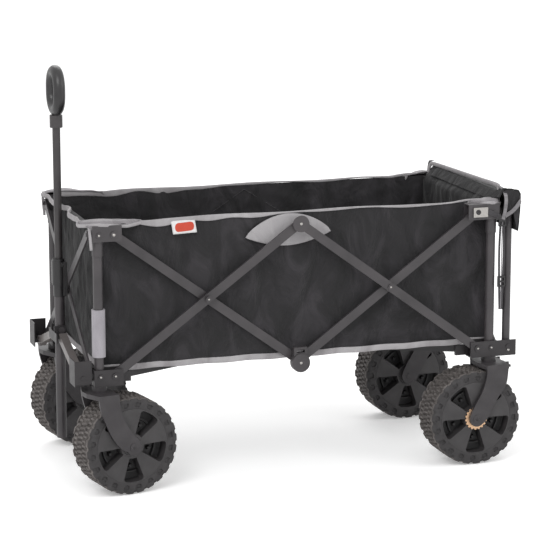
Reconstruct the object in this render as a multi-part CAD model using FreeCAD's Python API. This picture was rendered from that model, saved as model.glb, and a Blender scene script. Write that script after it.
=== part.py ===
import FreeCAD, Part
import math
import os

os.makedirs("parts", exist_ok=True)
V = FreeCAD.Vector

# ---- driving dimensions, mm. X runs from the handle end (-) to the tail end (+), Z up.
# Heights in this file are measured from a datum that lies GROUND below the ground; out() takes them down to it.
GROUND = 6.5
POST_X = 415.0        # corner post axis, half spacing along X
POST_Y = 195.0        # corner post axis, half spacing along Y
PIVOT_X = 385.0       # side scissor pivots, half spacing along X
Z_LOW = 247.0         # lower scissor pivots
Z_TOP = 530.0         # upper scissor pivots
POST_R = 9.6          # outer corner tube
INNER_R = 8.0         # inner corner tube, telescopes inside the outer one
SLIDE_GAP = 0.08      # radial clearance of every telescoping or turning fit
POST_FOOT = 230.0
POST_TOP = 487.0
BAR_W = 18.0          # scissor bar depth in its own plane
SIDE_BAR_T = 5.3      # side scissor bar thickness
SIDE_LAYER_0 = 184.0  # inner face of the innermost side bar
SIDE_PITCH = 5.7      # spacing of the four side bar layers
END_Y = PIVOT_X / 2     # end scissor pivots, so that ends and sides fold alike
END_BAR_T = 3.8
END_LAYER_0 = 428.4
END_PITCH = 4.1
PIN_R = 4.0           # pivot pins
CROSS_R = 3.0         # pins where two bars cross
CHEEK_IN = 181.6      # bracket cheek plates, distance of their faces from the middle plane
CHEEK_OUT = 207.3
CHEEK_T = 2.0
WHEEL_R = 99.0
WHEEL_Z = GROUND + WHEEL_R
TYRE_HALF = 38.0
RIM_R = 75.0
TRAIL_FRONT = 53.0    # caster trail
TRAIL_REAR = -42.0    # the fixed forks lean towards the middle
FORK_IN = 40.6
FORK_T = 6.0
CROWN_Z = 208.0
CROWN_TOP = 217.0
SWIVEL = 10.0         # the casters stand turned by this much, degrees
BRACKET_FOOT = 228.0  # underside of the corner brackets
PLATE_OUT = 428.0     # outer face of the brackets' end plates
HANDLE_X = -448.0
HANDLE_PIVOT_Z = 303.0
TUBE_R = 10.3         # outer handle tube
TUBE_BORE = 9.0
SHAFT_R = 8.0         # inner handle tube
TUBE_FOOT = 75.0
TUBE_TOP = 449.0
GRIP_TUBE = 12.0
GRIP_R = 33.0
GRIP_STRAIGHT = 12.0
GRIP_TOP = 841.0
YOKE_Y = 175.0        # outer pivots of the front cross arms
YOKE_Z = 240.0
YOKE_IN_Y = 24.5
YOKE_IN_Z = 290.0
YOKE_OPEN = 18.0      # the far arm ends this much early
TUB_X = 404.0
TUB_Y = 180.6
TUB_FLOOR = 251.0
TUB_RIM = 552.0
TUB_T = 2.5
TUB_TAIL_RIM = 571.0
STANCHION_X = 453.0


def out(shape, name):
    shape.translate(V(0, 0, -GROUND))
    shape.exportStep("parts/" + name + ".step")


def box(x0, x1, y0, y1, z0, z1):
    x0, x1 = min(x0, x1), max(x0, x1)
    y0, y1 = min(y0, y1), max(y0, y1)
    return Part.makeBox(x1 - x0, y1 - y0, z1 - z0, V(x0, y0, z0))


def rod(p, axis, r, length):
    return Part.makeCylinder(r, length, V(*p), V(*axis))


def fuse(shapes):
    whole = shapes[0]
    for s in shapes[1:]:
        whole = whole.fuse(s)
    return whole.removeSplitter()


def pipe(x, y, z0, z1, r, bore):
    return rod((x, y, z0), (0, 0, 1), r, z1 - z0).cut(rod((x, y, z0 - 1), (0, 0, 1), bore, z1 - z0 + 2))


def side_bar(p, q, layer, side, mid_hole, mid_pin):
    """A flat bar in an XZ plane between pivots p and q, on one of the four side layers."""
    lo = SIDE_LAYER_0 + layer * SIDE_PITCH
    y0 = lo if side > 0 else -lo - SIDE_BAR_T
    length = math.hypot(q[0] - p[0], q[1] - p[1])
    angle = math.degrees(math.atan2(q[1] - p[1], q[0] - p[0]))
    s = Part.makeBox(length, SIDE_BAR_T, BAR_W, V(0, y0, -BAR_W / 2))
    for u in (0, length):
        s = s.fuse(rod((u, y0, 0), (0, 1, 0), BAR_W / 2, SIDE_BAR_T))
    s = s.removeSplitter()
    for u in (0, length):
        s = s.cut(rod((u, y0 - 1, 0), (0, 1, 0), PIN_R + SLIDE_GAP, SIDE_BAR_T + 2))
    if mid_hole:
        s = s.cut(rod((length / 2, y0 - 1, 0), (0, 1, 0), CROSS_R + SLIDE_GAP, SIDE_BAR_T + 2))
    s.rotate(V(0, 0, 0), V(0, 1, 0), -angle)
    s.translate(V(p[0], 0, p[1]))
    if mid_pin:
        s = fuse([s, cross_pin((p[0] + q[0]) / 2, (p[1] + q[1]) / 2, side)])
    return s


def cross_pin(x, z, side):
    """The rivet that joins two crossing side bars, with a low head outside."""
    lo = SIDE_LAYER_0 - 0.6
    hi = SIDE_LAYER_0 + 4 * SIDE_PITCH
    y = lo if side > 0 else -hi
    pin = rod((x, y, z), (0, 1, 0), CROSS_R, hi - lo)
    head = hi if side > 0 else -hi - 1.6
    return pin.fuse(rod((x, head - 0.2 * side, z), (0, 1, 0), 6.0, 1.6))


def end_bar(p, q, layer, end, mid_hole, mid_pin):
    """A flat bar in a YZ plane on the outside of the posts."""
    lo = END_LAYER_0 + layer * END_PITCH
    x0 = lo if end > 0 else -lo - END_BAR_T
    length = math.hypot(q[0] - p[0], q[1] - p[1])
    angle = math.degrees(math.atan2(q[1] - p[1], q[0] - p[0]))
    s = Part.makeBox(END_BAR_T, length, BAR_W, V(x0, 0, -BAR_W / 2))
    for u in (0, length):
        s = s.fuse(rod((x0, u, 0), (1, 0, 0), BAR_W / 2, END_BAR_T))
    s = s.removeSplitter()
    for u in (0, length):
        s = s.cut(rod((x0 - 1, u, 0), (1, 0, 0), PIN_R + SLIDE_GAP, END_BAR_T + 2))
    if mid_hole:
        s = s.cut(rod((x0 - 1, length / 2, 0), (1, 0, 0), CROSS_R + SLIDE_GAP, END_BAR_T + 2))
    s.rotate(V(0, 0, 0), V(1, 0, 0), angle)
    s.translate(V(0, p[0], p[1]))
    if mid_pin:
        a = END_LAYER_0 - 0.4
        b = END_LAYER_0 + END_PITCH + END_BAR_T
        pin = rod((a if end > 0 else -b, (p[0] + q[0]) / 2, (p[1] + q[1]) / 2), (1, 0, 0), CROSS_R, b - a)
        s = fuse([s, pin])
    return s


def side_scissors():
    low = {"front": (-PIVOT_X, Z_LOW), "mid": (0.0, Z_LOW), "rear": (PIVOT_X, Z_LOW)}
    top = {"front": (-PIVOT_X, Z_TOP), "mid": (0.0, Z_TOP), "rear": (PIVOT_X, Z_TOP)}
    for word, side in (("near", -1), ("far", 1)):
        outer_lo = SIDE_LAYER_0 + 3 * SIDE_PITCH
        hi = outer_lo + SIDE_BAR_T
        a = side_bar(top["mid"], low["rear"], 3, side, False, True)
        y = SIDE_LAYER_0 + 2 * SIDE_PITCH - 0.6
        # the top middle pin and its round cover belong to the outermost bar
        pin = rod((0, y if side > 0 else -hi - 1, Z_TOP), (0, 1, 0), PIN_R, hi + 1 - y)
        cover = rod((0, hi - 0.2 if side > 0 else -hi - 2.2, Z_TOP), (0, 1, 0), 17.0, 2.4)
        out(fuse([a, pin, cover]), "side_bar_" + word + "_rear_outer")
        b = side_bar(low["mid"], top["rear"], 1, side, True, False)
        y = SIDE_LAYER_0 - 0.6
        pin = rod((0, y if side > 0 else -hi - 1, Z_LOW), (0, 1, 0), PIN_R, hi + 1 - y)
        lo = SIDE_LAYER_0 + 2 * SIDE_PITCH
        hub = rod((0, lo - 0.5 if side > 0 else -hi - 3, Z_LOW - 2), (0, 1, 0), 19.0, hi + 3.5 - lo)
        hook = loop_hook(side, lo, hi)
        out(fuse([b, pin, hub, hook]), "side_bar_" + word + "_rear_inner")
        c = side_bar(low["front"], top["mid"], 2, side, False, True)
        out(c, "side_bar_" + word + "_front_outer")
        d = side_bar(top["front"], low["mid"], 0, side, True, False)
        out(d, "side_bar_" + word + "_front_inner")


def loop_hook(side, lo, hi):
    """The plastic loop that stands on the bottom middle hub."""
    y0 = lo if side > 0 else -hi
    y1 = hi if side > 0 else -lo
    whole = box(-14, 14, y0, y1, Z_LOW + 8, Z_LOW + 30)
    return whole.cut(box(-8.5, 8.5, y0 - 1, y1 + 1, Z_LOW + 19, Z_LOW + 25))


def end_scissors():
    for word, end in (("front", -1), ("rear", 1)):
        a = end_bar((-END_Y, Z_LOW), (END_Y, Z_TOP), 0, end, False, True)
        out(a, "end_bar_" + word + "_inner")
        b = end_bar((-END_Y, Z_TOP), (END_Y, Z_LOW), 1, end, True, False)
        out(b, "end_bar_" + word + "_outer")


def cheeks(x0, x1, z0, z1, side):
    inner = box(x0, x1, side * CHEEK_IN, side * (CHEEK_IN + CHEEK_T), z0, z1)
    outer = box(x0, x1, side * CHEEK_OUT, side * (CHEEK_OUT + CHEEK_T), z0, z1)
    return [inner, outer]


def across(x, z, side, r, lo, hi):
    """A pin along Y between two distances from the middle plane."""
    return rod((x, lo if side > 0 else -hi, z), (0, 1, 0), r, hi - lo)


def end_pin(end, side, z):
    lo = PLATE_OUT - 2.0
    hi = END_LAYER_0 + END_PITCH + END_BAR_T + 1.2
    return rod((lo if end > 0 else -hi, side * END_Y, z), (1, 0, 0), PIN_R, hi - lo)


def lower_bracket(end, side):
    x_in = end * 369.0
    x_out = end * PLATE_OUT
    face = CHEEK_OUT + CHEEK_T
    foot = BRACKET_FOOT
    shapes = cheeks(x_in, x_out, foot, 261.0, side)
    shapes.append(box(x_in, x_out, side * CHEEK_IN, side * face, foot, foot + 2.0))
    y_in = 163.0 if end < 0 else CHEEK_IN
    shapes.append(box(end * (PLATE_OUT - 2.0), x_out, side * y_in, side * face, foot, 261.0))
    shapes.append(across(end * PIVOT_X, Z_LOW, side, PIN_R, CHEEK_IN, face + 2.0))
    shapes.append(across(end * PIVOT_X, Z_LOW, side, 7.0, face - 0.3, face + 2.0))
    shapes.append(across(end * POST_X, Z_LOW, side, 5.5, face - 0.3, face + 1.8))
    shapes.append(end_pin(end, side, Z_LOW))
    if end < 0:
        # a channel in front of the corner holds the outer pivot of a cross arm
        shapes.append(rod((-465.5, side * YOKE_Y, YOKE_Z), (1, 0, 0), PIN_R, 38.5))
        shapes.append(box(-467.0, -465.0, side * 161.0, side * 206.0, foot + 2.0, 281.0))
        shapes.append(box(-467.0, -432.5, side * 204.4, side * 206.0, foot + 6.0, 281.0))
        shapes.append(across(-450.0, Z_LOW, side, 4.5, 205.8, 207.8))
    else:
        shapes.append(box(424.0, 470.0, side * CHEEK_OUT, side * face, foot, 261.0))
        shapes.append(across(STANCHION_X, Z_LOW, side, 5.5, face - 0.3, face + 1.8))
        shapes.append(across(STANCHION_X, Z_LOW, side, 3.0, POST_Y + 5.0, face))
    shapes += arm_lug(end, side)
    whole = fuse(shapes)
    if end < 0:
        whole = whole.cut(rod((end * POST_X, side * POST_Y, 220.0), (0, 0, 1), 6.0 + SLIDE_GAP, 20.0))
        whole = fuse([whole, bush(end * POST_X, side * POST_Y)])
    return whole


def bush(x, y):
    """Lines the foot of a front post so that the caster stem turns in it."""
    return pipe(x, y, 229.5, 254.0, INNER_R, 6.0 + SLIDE_GAP)


ARM_X = 357.0
ARM_Y = 166.0
ARM_Z = 240.0
ARM_LEN = 314.0


def arm_frame(end, side):
    d = V(-end * ARM_X, -side * ARM_Y, 0)
    d.normalize()
    n = V(-d.y, d.x, 0)
    return d, n


def arm_lug(end, side):
    """A lug inside the corner bracket with the pin of a base arm."""
    d, n = arm_frame(end, side)
    at = V(end * ARM_X, side * ARM_Y, ARM_Z)
    lug = box(end * 347.0, end * 375.0, side * 174.0, side * (CHEEK_IN + 0.5), 229.0, 250.0)
    toward = 1.0 if n.y * side > 0 else -1.0
    pin = Part.makeCylinder(3.0, 15.0, at - n * (3.5 * toward), n * toward)
    return [lug, pin]


def base_arm(end, side):
    d, n = arm_frame(end, side)
    s = Part.makeBox(ARM_LEN, 5.0, 14.0, V(0, -2.5, -7.0))
    s = s.fuse(rod((0, -2.5, 0), (0, 1, 0), 7.0, 5.0))
    s = s.fuse(rod((ARM_LEN, -2.5, 0), (0, 1, 0), 7.0, 5.0)).removeSplitter()
    s = s.cut(rod((0, -3.5, 0), (0, 1, 0), 3.0 + SLIDE_GAP, 7.0))
    s.rotate(V(0, 0, 0), V(0, 0, 1), math.degrees(math.atan2(d.y, d.x)))
    s.translate(V(end * ARM_X, side * ARM_Y, ARM_Z))
    return s


def upper_frame(end, side):
    """Top bracket with the inner tube that slides in the corner post."""
    x_in = end * (369.0 if end < 0 else 360.0)
    x_out = end * PLATE_OUT
    face = CHEEK_OUT + CHEEK_T
    shapes = cheeks(x_in, x_out, 517.0, 549.0, side)
    shapes.append(box(x_in, x_out, side * CHEEK_IN, side * face, 547.0, 549.0))
    shapes.append(box(end * (PLATE_OUT - 2.0), x_out, side * CHEEK_IN, side * face, 517.0, 549.0))
    shapes.append(across(end * PIVOT_X, Z_TOP, side, PIN_R, CHEEK_IN, face + 2.0))
    shapes.append(across(end * PIVOT_X, Z_TOP, side, 7.0, face - 0.3, face + 2.0))
    shapes.append(across(end * POST_X, Z_TOP, side, 5.5, face - 0.3, face + 1.8))
    shapes.append(end_pin(end, side, Z_TOP))
    shapes.append(pipe(end * POST_X, side * POST_Y, 268.0, 547.5, INNER_R, INNER_R - 1.4))
    shapes.append(pipe(end * POST_X, side * POST_Y, POST_TOP + 0.5, 516.5, 11.0, INNER_R - 1.0))
    shapes.append(pipe(end * POST_X, side * POST_Y, 516.0, 547.5, 10.0, INNER_R - 1.0))
    return fuse(shapes)


def frame_corners():
    for end_word, end in (("front", -1), ("rear", 1)):
        for side_word, side in (("near", -1), ("far", 1)):
            tag = end_word + "_" + side_word
            x = end * POST_X
            y = side * POST_Y
            out(pipe(x, y, POST_FOOT + 0.05, POST_TOP, POST_R, INNER_R + SLIDE_GAP), "post_" + tag)
            out(lower_bracket(end, side), "bracket_" + tag)
            out(upper_frame(end, side), "upper_" + tag)
            out(base_arm(end, side), "base_arm_" + tag)
            out(fork(end, side), "fork_" + tag)
            wheel(end, side, tag)
    out(pipe(-POST_X, -POST_Y, 286.0, 381.0, 13.4, POST_R + 0.02), "post_sleeve")


def smooth_edge(points):
    curve = Part.BSplineCurve()
    curve.interpolate([V(x, 0, z) for x, z in points])
    return curve.toShape()


def leg_face(left, right):
    """The outline of a fork leg: two flowing edges, joined by straight lines."""
    edges = [smooth_edge(left), smooth_edge(right)]
    edges.append(Part.makeLine(V(left[-1][0], 0, left[-1][1]), V(right[-1][0], 0, right[-1][1])))
    edges.append(Part.makeLine(V(left[0][0], 0, left[0][1]), V(right[0][0], 0, right[0][1])))
    return Part.Face(Part.Wire(Part.__sortEdges__(edges)))


# leg edges from the crown down, measured from the axle
FRONT_LEFT = [(-73, 111.5), (-72, 92), (-65.5, 68), (-58, 49), (-47, 26), (-33, 6), (-14, -7.5)]
FRONT_RIGHT = [(-31, 111.5), (-29, 92), (-25, 72), (-15, 48), (1, 24.5), (13, 9)]
REAR_LEFT = [(20, 111.5), (20.5, 97), (17, 76), (9.5, 54.5), (-1, 36), (-11, 17), (-16.5, 4)]
REAR_RIGHT = [(69, 111.5), (67, 92), (62, 66), (46, 43), (35.5, 24), (25, 4), (13, -10.5)]
# crown outline in plan, measured from the post
FRONT_CROWN = [(-20, -1), (-33, -0.25), (-33, 0.25), (-20, 1), (22, 1), (22, -1)]
REAR_CROWN = [(-22, -1), (-30, -0.25), (-30, 0.25), (-22, 1), (27, 1), (27, -1)]


def fork(end, side):
    """Crown, two curved legs and the axle. A front fork carries its stem and stands turned."""
    xs = end * POST_X
    ys = side * POST_Y
    xa = xs + (TRAIL_FRONT if end < 0 else TRAIL_REAR)
    face = leg_face(FRONT_LEFT, FRONT_RIGHT) if end < 0 else leg_face(REAR_LEFT, REAR_RIGHT)
    face.translate(V(xa, 0, WHEEL_Z))
    shapes = []
    for low in (-FORK_IN - FORK_T, FORK_IN):
        leg = face.extrude(V(0, FORK_T, 0))
        leg.translate(V(0, ys + low, 0))
        shapes.append(leg)
        shapes.append(rod((xa, ys + low, WHEEL_Z), (0, 1, 0), 16.0, FORK_T))
    half = FORK_IN + FORK_T
    plan = [V(xs + u, ys + v * half, CROWN_Z) for u, v in (FRONT_CROWN if end < 0 else REAR_CROWN)]
    plan.append(plan[0])
    shapes.append(Part.Face(Part.makePolygon(plan)).extrude(V(0, 0, CROWN_TOP - CROWN_Z)))
    shapes.append(rod((xa, ys - half - 1.0, WHEEL_Z), (0, 1, 0), 6.0, 2 * half + 2.0))
    shapes.append(rod((xa, ys + side * half - (0 if side > 0 else 1.0), WHEEL_Z), (0, 1, 0), 9.0, 1.0))
    shapes.append(rod((xs, ys, CROWN_TOP - 0.5), (0, 0, 1), 15.0, BRACKET_FOOT - CROWN_TOP + 0.4))
    if end < 0:
        shapes.append(rod((xs, ys, CROWN_TOP - 0.5), (0, 0, 1), 6.0, 36.0))
    else:
        shapes += [box(441.0, 450.5, ys + s * 21.5, ys + s * 25.0, 205.0, 217.0) for s in (-1, 1)]
        shapes.append(rod((446.5, ys - 24.0, 210.0), (0, 1, 0), 2.0, 48.0))
    whole = fuse(shapes)
    if end < 0:
        whole.rotate(V(xs, ys, 0), V(0, 0, 1), SWIVEL)
    return whole


def wheel(end, side, tag):
    xs = end * POST_X
    xc = xs + (TRAIL_FRONT if end < 0 else TRAIL_REAR)
    yc = side * POST_Y
    at = V(xc, yc, WHEEL_Z)
    ax = V(0, 1, 0)
    hub = Part.makeCylinder(21.0, 79.0, at - ax * 39.5, ax)
    band = Part.makeCylinder(RIM_R, 70.0, at - ax * 35.0, ax).cut(Part.makeCylinder(RIM_R - 5, 72.0, at - ax * 36.0, ax))
    rim = hub.fuse(band)
    for y0 in (-35.0, 28.0):
        disc = Part.makeCylinder(RIM_R - 1, 7.0, at + ax * y0, ax)
        for k in range(5):
            disc = disc.cut(window(at, y0, 72.0 * k + (26.0 if end < 0 else 36.0)))
        rim = rim.fuse(disc)
    rim = rim.removeSplitter().cut(Part.makeCylinder(6.0 + SLIDE_GAP, 100.0, at - ax * 50.0, ax))
    tread = tyre(at, ax)
    if end < 0:
        rim.rotate(V(xs, yc, 0), V(0, 0, 1), SWIVEL)
        tread.rotate(V(xs, yc, 0), V(0, 0, 1), SWIVEL)
    out(rim, "rim_" + tag)
    out(tread, "tyre_" + tag)


def window(at, y0, angle):
    """One of the five wedge windows of a wheel disc."""
    pts = []
    for r, a in ((34.0, -20.0), (62.0, -25.0), (62.0, 25.0), (34.0, 20.0)):
        b = math.radians(a)
        pts.append(V(at.x + r * math.sin(b), at.y + y0 - 1, at.z + r * math.cos(b)))
    pts.append(pts[0])
    cut = Part.Face(Part.makePolygon(pts)).extrude(V(0, 9, 0))
    cut.rotate(at, V(0, 1, 0), angle)
    return cut


def tyre(at, ax):
    r = WHEEL_R
    h = TYRE_HALF
    prof = [(RIM_R + 0.05, -36.0), (90.0, -h), (96.0, -h + 1.5), (r, -h + 6), (r, -3.0), (r - 4, -1.5), (r - 4, 1.5),
            (r, 3.0), (r, h - 6), (96.0, h - 1.5), (90.0, h), (RIM_R + 0.05, 36.0)]
    ring = [V(at.x + p, at.y + q, at.z) for p, q in prof]
    ring.append(ring[0])
    whole = Part.Face(Part.makePolygon(ring)).revolve(at, ax, 360)
    return whole


def handle():
    x = HANDLE_X
    # the plate in front of the cross arms, with the cheeks of the handle pivot above
    plate = box(x - 15.5, x - 12.5, -34, 34, 280.0, 300.0)
    shapes = [plate]
    for s in (-1, 1):
        shapes.append(box(x - 15.5, x + 9, s * 12.2, s * 15.2, 291.0, 312.0))
    shapes.append(rod((x - 13, -YOKE_IN_Y, YOKE_IN_Z), (1, 0, 0), 3.5, 21.5))
    # the plate stands clear of the tube's trunnion heads
    bracket = fuse(shapes)
    bracket = bracket.cut(rod((x, -20.0, HANDLE_PIVOT_Z), (0, 1, 0), PIN_R + SLIDE_GAP, 40.0))
    out(bracket, "handle_bracket")
    # the tube turns on two stub pins, so that its bore stays free for the inner tube
    stubs = rod((x, -17.6, HANDLE_PIVOT_Z), (0, 1, 0), PIN_R, 35.2)
    for s in (-1, 1):
        stubs = stubs.fuse(rod((x, 15.6 if s > 0 else -18.0, HANDLE_PIVOT_Z), (0, 1, 0), 6.5, 2.4))
    tube = rod((x, 0, TUBE_FOOT), (0, 0, 1), TUBE_R, TUBE_TOP - 6 - TUBE_FOOT).fuse(stubs)
    tube = tube.cut(rod((x, 0, TUBE_FOOT + 4), (0, 0, 1), TUBE_BORE, 500.0))
    out(tube.removeSplitter(), "handle_tube")
    collar = pipe(x, 0, 371.0, 395.0, 12.0, TUBE_R + 0.02).cut(box(x + 9.7, x + 20, -20, 20, 365, 400))
    collar = collar.fuse(pipe(x, 0, 395.0, TUBE_TOP - 6, 14.4, TUBE_R + 0.02).cut(box(x + 9.7, x + 20, -20, 20, 390, 450)))
    collar = collar.fuse(box(x - 12, x + 9.7, 0, 16.5, 396.0, TUBE_TOP - 6).cut(pipe_core(x)))
    collar = collar.fuse(pipe(x, 0, TUBE_TOP - 6, TUBE_TOP, 13.4, SHAFT_R + SLIDE_GAP).cut(box(x + 9.7, x + 20, -20, 20, 390, 450)))
    collar = collar.removeSplitter()
    ear = box(x + 1, x + 4, -22.0, -8.0, 434.0, 443.0)
    ear_pin = rod((x + 1, -20.0, 439.0), (1, 0, 0), 2.0, 9.0)
    holder = fuse([collar, ear.cut(pipe_core(x)), ear_pin])
    out(holder, "handle_collar")
    lever = box(x + 4.3, x + 11.0, -27.0, -16.2, 375.0, 445.0)
    lever = lever.cut(rod((x, -20.0, 439.0), (1, 0, 0), 2.0 + SLIDE_GAP, 20.0))
    out(lever, "handle_lever")
    shaft = pipe(x, 0, 345.0, 739.5, SHAFT_R, SHAFT_R - 1.5)
    shaft = shaft.fuse(pipe(x, 0, 345.0, 357.0, TUBE_BORE - SLIDE_GAP, SHAFT_R - 1.5))
    ferrule = pipe(x, 0, 716.0, 741.0, 13.0, SHAFT_R - 0.5)
    out(fuse([shaft, ferrule]), "handle_shaft")
    out(grip(x), "grip")


def pipe_core(x):
    return rod((x, 0, 360.0), (0, 0, 1), TUBE_R + 0.02, 83.0)


def grip(x):
    """Closed oval ring in the YZ plane."""
    top = GRIP_TOP - GRIP_TUBE - GRIP_R
    low = top - GRIP_STRAIGHT
    ring_top = Part.makeTorus(GRIP_R, GRIP_TUBE, V(x, 0, top), V(1, 0, 0))
    ring_top = ring_top.common(box(x - 20, x + 20, -60, 60, top, top + 60))
    ring_low = Part.makeTorus(GRIP_R, GRIP_TUBE, V(x, 0, low), V(1, 0, 0))
    ring_low = ring_low.common(box(x - 20, x + 20, -60, 60, low - 60, low))
    sides = [rod((x, s * GRIP_R, low), (0, 0, 1), GRIP_TUBE, GRIP_STRAIGHT) for s in (-1, 1)]
    whole = fuse([ring_top, ring_low] + sides)
    return whole.cut(rod((x, 0, 730.0), (0, 0, 1), 13.05, 11.0))


def yoke_arm(side):
    """A front cross arm. The near one carries the handle bracket, the far one stops short of it."""
    dy = YOKE_Y - YOKE_IN_Y
    dz = YOKE_IN_Z - YOKE_Z
    length = math.hypot(dy, dz) - (0.0 if side < 0 else YOKE_OPEN)
    s = Part.makeBox(16.0, length, 16.0, V(HANDLE_X - 8, 0, -8))
    s = s.fuse(rod((HANDLE_X - 8, 0, 0), (1, 0, 0), 11.0, 16.0))
    s = s.fuse(rod((HANDLE_X - 8, length, 0), (1, 0, 0), 8.0, 16.0)).removeSplitter()
    s = s.cut(rod((HANDLE_X - 9, 0, 0), (1, 0, 0), PIN_R + SLIDE_GAP, 18.0))
    if side < 0:
        s = s.cut(rod((HANDLE_X - 9, length, 0), (1, 0, 0), 3.5 + SLIDE_GAP, 18.0))
    s.rotate(V(0, 0, 0), V(1, 0, 0), math.degrees(math.atan2(dz, dy)))
    s.translate(V(0, -YOKE_Y, YOKE_Z))
    if side > 0:
        s = s.mirror(V(0, 0, 0), V(0, 1, 0))
    return s


def tub():
    t = TUB_T
    whole = box(-TUB_X, TUB_X, -TUB_Y, TUB_Y, TUB_FLOOR, TUB_RIM)
    tail = box(TUB_X - t, TUB_X, -TUB_Y, TUB_Y, TUB_RIM - 1, TUB_TAIL_RIM)
    inside = box(-TUB_X + t, TUB_X - t, -TUB_Y + t, TUB_Y - t, TUB_FLOOR + t, TUB_RIM + 30)
    out(fuse([whole.cut(inside), tail]), "tub")
    for word, side in (("near", -1), ("far", 1)):
        out(box(-398.0, 398.0, side * 1.0, side * 176.5, TUB_FLOOR + t + 0.3, TUB_FLOOR + t + 6.3), "floor_board_" + word)
    pouch = box(442.0, 472.0, -212.0, 212.0, 486.0, 575.0)
    flap = box(TUB_X + 0.3, 472.0, -TUB_Y, TUB_Y, 571.5, 575.0)
    pouch = fuse([pouch, flap])
    for side in (-1, 1):
        pouch = pouch.cut(rod((STANCHION_X, side * POST_Y, 480.0), (0, 0, 1), 9.0, 84.0))
    out(pouch, "tail_pouch")


def tail_pieces():
    for word, side in (("near", -1), ("far", 1)):
        out(pipe(STANCHION_X, side * POST_Y, 230.0, 560.0, 8.3, 6.9).cut(across(STANCHION_X, Z_LOW, side, 3.05, 190.0, 220.0)),
            "stanchion_" + word)
        y = side * POST_Y
        pad = box(446.5, 457.0, y - 20.5, y + 20.5, 204.5, 209.0)
        pad = pad.fuse(rod((446.5, y - 20.5, 210.0), (0, 1, 0), 3.8, 41.0)).removeSplitter()
        pad = pad.cut(rod((446.5, y - 30.0, 210.0), (0, 1, 0), 2.0 + SLIDE_GAP, 60.0))
        out(pad, "brake_pedal_" + word)


def main():
    side_scissors()
    end_scissors()
    frame_corners()
    handle()
    out(yoke_arm(-1), "cross_arm_near")
    out(yoke_arm(1), "cross_arm_far")
    tub()
    tail_pieces()


main()
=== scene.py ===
import math
import random

import bmesh
import bpy
from mathutils import Matrix, Vector, noise


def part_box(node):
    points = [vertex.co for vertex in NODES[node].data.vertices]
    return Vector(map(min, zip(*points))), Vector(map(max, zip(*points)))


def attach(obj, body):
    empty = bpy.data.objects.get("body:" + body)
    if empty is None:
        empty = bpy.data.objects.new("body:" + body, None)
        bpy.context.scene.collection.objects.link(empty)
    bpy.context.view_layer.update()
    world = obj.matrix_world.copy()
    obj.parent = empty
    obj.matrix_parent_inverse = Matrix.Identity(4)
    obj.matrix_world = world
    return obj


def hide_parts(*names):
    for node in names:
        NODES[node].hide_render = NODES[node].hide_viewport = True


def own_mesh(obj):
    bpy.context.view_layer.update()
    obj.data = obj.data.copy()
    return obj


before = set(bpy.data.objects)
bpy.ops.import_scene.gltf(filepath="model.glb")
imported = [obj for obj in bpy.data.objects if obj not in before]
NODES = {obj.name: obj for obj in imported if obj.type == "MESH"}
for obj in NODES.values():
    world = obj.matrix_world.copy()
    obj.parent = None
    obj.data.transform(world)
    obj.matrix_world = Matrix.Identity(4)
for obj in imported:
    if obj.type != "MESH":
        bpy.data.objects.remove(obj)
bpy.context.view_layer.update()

MM = 0.001

# tub, in metres: the cloth walls stand just inside the scissor bars
WALL_X = 0.4125
FRONT_X = 0.4045
WALL_Y = 0.1785
WALL_LOW = 0.2460
RIM_Z = 0.5455
TAIL_Z = 0.5690


# ---------------------------------------------------------------- materials

def linear(hexa):
    """sRGB hex to linear rgba."""
    rgb = [int(hexa[i:i + 2], 16) / 255 for i in (1, 3, 5)]
    return [c / 12.92 if c <= 0.04045 else ((c + 0.055) / 1.055) ** 2.4 for c in rgb] + [1.0]


def add(tree, kind, settings=None, **links):
    """Adds a node: settings go to its properties or its sockets, links join other nodes' outputs to its sockets."""
    n = tree.nodes.new(kind)
    for key, value in (settings or {}).items():
        if isinstance(key, str) and hasattr(n, key):
            setattr(n, key, value)
        else:
            n.inputs[key].default_value = value
    for key, source in links.items():
        name = key.replace("_", " ")
        target = n.inputs[int(key[1:])] if key[0] == "i" and key[1:].isdigit() else n.inputs[name]
        tree.links.new(source, target)
    return n


def new_material(name, rough, metallic=0.0, ior=1.5, sheen=0.0):
    m = bpy.data.materials.new(name)
    m.use_nodes = True
    shader = m.node_tree.nodes["Principled BSDF"]
    shader.inputs["Roughness"].default_value = rough
    shader.inputs["Metallic"].default_value = metallic
    shader.inputs["IOR"].default_value = ior
    if sheen:
        shader.inputs["Sheen Weight"].default_value = sheen
        shader.inputs["Sheen Roughness"].default_value = 0.5
    return m, m.node_tree, shader


def mottled(tree, position, size_mm, detail=3.0):
    """A colour ramp that drifts over patches of a real size."""
    n = add(tree, "ShaderNodeTexNoise", {"Scale": 1.0 / (size_mm * MM), "Detail": detail}, Vector=position)
    return add(tree, "ShaderNodeValToRGB", None, Fac=n.outputs["Fac"])


def set_ramp(ramp, *stops):
    r = ramp.color_ramp
    r.elements[0].position, r.elements[0].color = stops[0][0], linear(stops[0][1])
    r.elements[1].position, r.elements[1].color = stops[-1][0], linear(stops[-1][1])
    for at, hexa in stops[1:-1]:
        r.elements.new(at).color = linear(hexa)


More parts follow.
